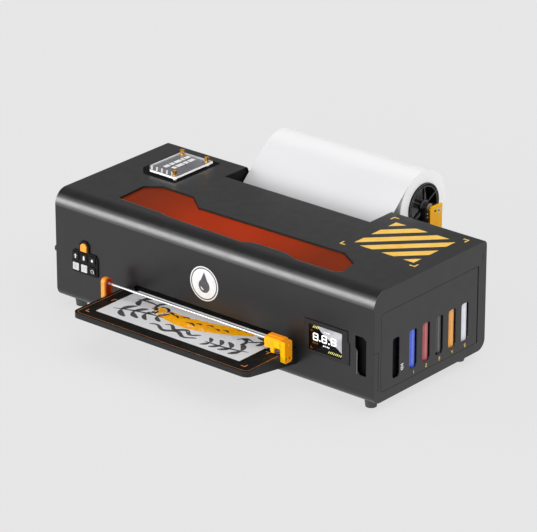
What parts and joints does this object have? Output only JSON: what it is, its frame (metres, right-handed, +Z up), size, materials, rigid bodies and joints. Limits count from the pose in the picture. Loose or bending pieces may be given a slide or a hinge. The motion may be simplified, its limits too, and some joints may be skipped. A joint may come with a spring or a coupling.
{
  "type": "direct-to-film printer",
  "caption": "Desktop direct-to-film printer with a film roll at the rear, a front tray with a cross cutter, a tinted sight lid and an ink tank door.",
  "frame": {"origin": "bottom centre of the whole printer's bounding box, on the plane the feet stand on", "axes": "+X towards the ink tank side, to the right when facing the front; +Y towards the film roll at the rear; +Z up"},
  "size_m": [0.741, 0.6, 0.2716],
  "materials": {
    "charcoal_paint": "satin",
    "black_plastic": "matte",
    "smoked_glass": "gloss",
    "orange_acrylic": "gloss",
    "clear_acrylic": "gloss",
    "orange_plastic": "satin",
    "orange_metal": "satin",
    "white_keycap": "satin",
    "rubber": "matte",
    "steel": "polished",
    "film": "satin",
    "ink_blue": "gloss",
    "ink_red": "gloss",
    "ink_black": "gloss",
    "ink_yellow": "gloss",
    "ink_white": "gloss",
    "green_board": "satin"
  },
  "bodies": {
    "printer": {"base_pan": "charcoal_paint", "front_panel": "charcoal_paint", "top_panel": "charcoal_paint", "rear_panel": "charcoal_paint", "side_panel_left": "charcoal_paint", "side_panel_right": "charcoal_paint", "feed_well": "charcoal_paint", "film_tray": "charcoal_paint", "window_frame": "black_plastic", "key_plate": "black_plastic", "display_plate": "black_plastic", "axle_saddles": "black_plastic", "cap_station": "black_plastic", "platen": "black_plastic", "mains_inlet": "black_plastic", "power_switch": "black_plastic", "waste_bottle": "black_plastic", "drive_belt": "black_plastic", "display_screen": "smoked_glass", "name_plate": "clear_acrylic", "cutter_brackets": "orange_plastic", "roll_arms": "orange_metal", "feet": "rubber", "exit_guide_rod": "rubber", "cutter_rod": "steel", "frame_plates": "steel", "guide_rail": "steel", "guide_shaft": "steel", "motors": "steel", "power_supply": "steel", "film_web": "film", "ink_tank_1": "ink_blue", "ink_tank_2": "ink_red", "ink_tank_3": "ink_black", "ink_tank_4": "ink_yellow", "ink_tank_5": "ink_white", "circuit_boards": "green_board"},
    "roll": {"film_roll": "film", "spool_flanges": "black_plastic", "roll_axle": "steel"},
    "cutter": {"cutter_head": "orange_plastic", "cutter_blade": "steel"},
    "lid": {"window_lid": "orange_acrylic", "lid_arms": "steel"},
    "side_door": {"ink_door": "charcoal_paint"},
    "print_carriage": {"carriage": "black_plastic", "print_head": "steel"},
    "left_pulley": {"motor_pulley": "steel"},
    "right_pulley": {"idler_pulley": "steel"},
    "feeder": {"feed_roller": "rubber"},
    "pincher": {"pinch_roller": "rubber"},
    "exiter": {"exit_roller": "rubber"},
    "knob": {"power_knob": "steel"},
    "power_key": {"power_button": "orange_plastic"},
    "key_1": {"button_1": "black_plastic"},
    "key_2": {"button_2": "black_plastic"},
    "key_3": {"button_3": "black_plastic"},
    "key_4": {"button_4": "white_keycap"},
    "key_5": {"button_5": "white_keycap"},
    "key_6": {"button_6": "black_plastic"}
  },
  "joints": [
    {"name": "roll_spin", "type": "hinge", "parent": "printer", "child": "roll", "pos_m": [-0.0015, 0.234, 0.2056], "axis": [1, 0, 0], "continuous": true},
    {"name": "feed_spin", "type": "hinge", "parent": "printer", "child": "feeder", "pos_m": [0.0205, -0.045, 0.0687], "axis": [1, 0, 0], "continuous": true},
    {"name": "pinch_spin", "type": "hinge", "parent": "printer", "child": "pincher", "pos_m": [0.0205, -0.045, 0.0856], "axis": [1, 0, 0], "continuous": true},
    {"name": "exit_spin", "type": "hinge", "parent": "printer", "child": "exiter", "pos_m": [0.0205, -0.135, 0.0707], "axis": [1, 0, 0], "continuous": true},
    {"name": "carriage_slide", "type": "slide", "parent": "printer", "child": "print_carriage", "axis": [-1, 0, 0], "range_m": [0, 0.42]},
    {"name": "left_pulley_spin", "type": "hinge", "parent": "printer", "child": "left_pulley", "pos_m": [-0.2255, -0.05875, 0.131], "axis": [0, 1, 0], "continuous": true},
    {"name": "right_pulley_spin", "type": "hinge", "parent": "printer", "child": "right_pulley", "pos_m": [0.2765, -0.05875, 0.131], "axis": [0, 1, 0], "continuous": true},
    {"name": "cutter_slide", "type": "slide", "parent": "printer", "child": "cutter", "axis": [-1, 0, 0], "range_m": [0, 0.36]},
    {"name": "lid_hinge", "type": "hinge", "parent": "printer", "child": "lid", "pos_m": [0.0065, -0.006, 0.219], "axis": [-1, 0, 0], "range_deg": [0, 80]},
    {"name": "door_hinge", "type": "hinge", "parent": "printer", "child": "side_door", "pos_m": [0.3675, 0.1204, 0.1095], "axis": [0, 0, 1], "range_deg": [0, 90]},
    {"name": "knob_turn", "type": "hinge", "parent": "printer", "child": "knob", "pos_m": [-0.3635, -0.151, 0.106], "axis": [1, 0, 0], "range_deg": [0, 90]},
    {"name": "power_press", "type": "slide", "parent": "printer", "child": "power_key", "axis": [0, 1, 0], "range_m": [0, 0.0015], "stiffness_N_per_m": 400, "springref_m": -0.001},
    {"name": "key_1_press", "type": "slide", "parent": "printer", "child": "key_1", "axis": [0, 1, 0], "range_m": [0, 0.0015], "stiffness_N_per_m": 400, "springref_m": -0.001},
    {"name": "key_2_press", "type": "slide", "parent": "printer", "child": "key_2", "axis": [0, 1, 0], "range_m": [0, 0.0015], "stiffness_N_per_m": 400, "springref_m": -0.001},
    {"name": "key_3_press", "type": "slide", "parent": "printer", "child": "key_3", "axis": [0, 1, 0], "range_m": [0, 0.0015], "stiffness_N_per_m": 400, "springref_m": -0.001},
    {"name": "key_4_press", "type": "slide", "parent": "printer", "child": "key_4", "axis": [0, 1, 0], "range_m": [0, 0.0015], "stiffness_N_per_m": 400, "springref_m": -0.001},
    {"name": "key_5_press", "type": "slide", "parent": "printer", "child": "key_5", "axis": [0, 1, 0], "range_m": [0, 0.0015], "stiffness_N_per_m": 400, "springref_m": -0.001},
    {"name": "key_6_press", "type": "slide", "parent": "printer", "child": "key_6", "axis": [0, 1, 0], "range_m": [0, 0.0015], "stiffness_N_per_m": 400, "springref_m": -0.001}
  ],
  "couplings": [
    {"joint": "feed_spin", "follows": "roll_spin", "ratio": 6.6},
    {"joint": "pinch_spin", "follows": "roll_spin", "ratio": -11},
    {"joint": "exit_spin", "follows": "roll_spin", "ratio": 8.25},
    {"joint": "left_pulley_spin", "follows": "carriage_slide", "rad_per_m": 143.88},
    {"joint": "right_pulley_spin", "follows": "carriage_slide", "rad_per_m": 143.88}
  ]
}
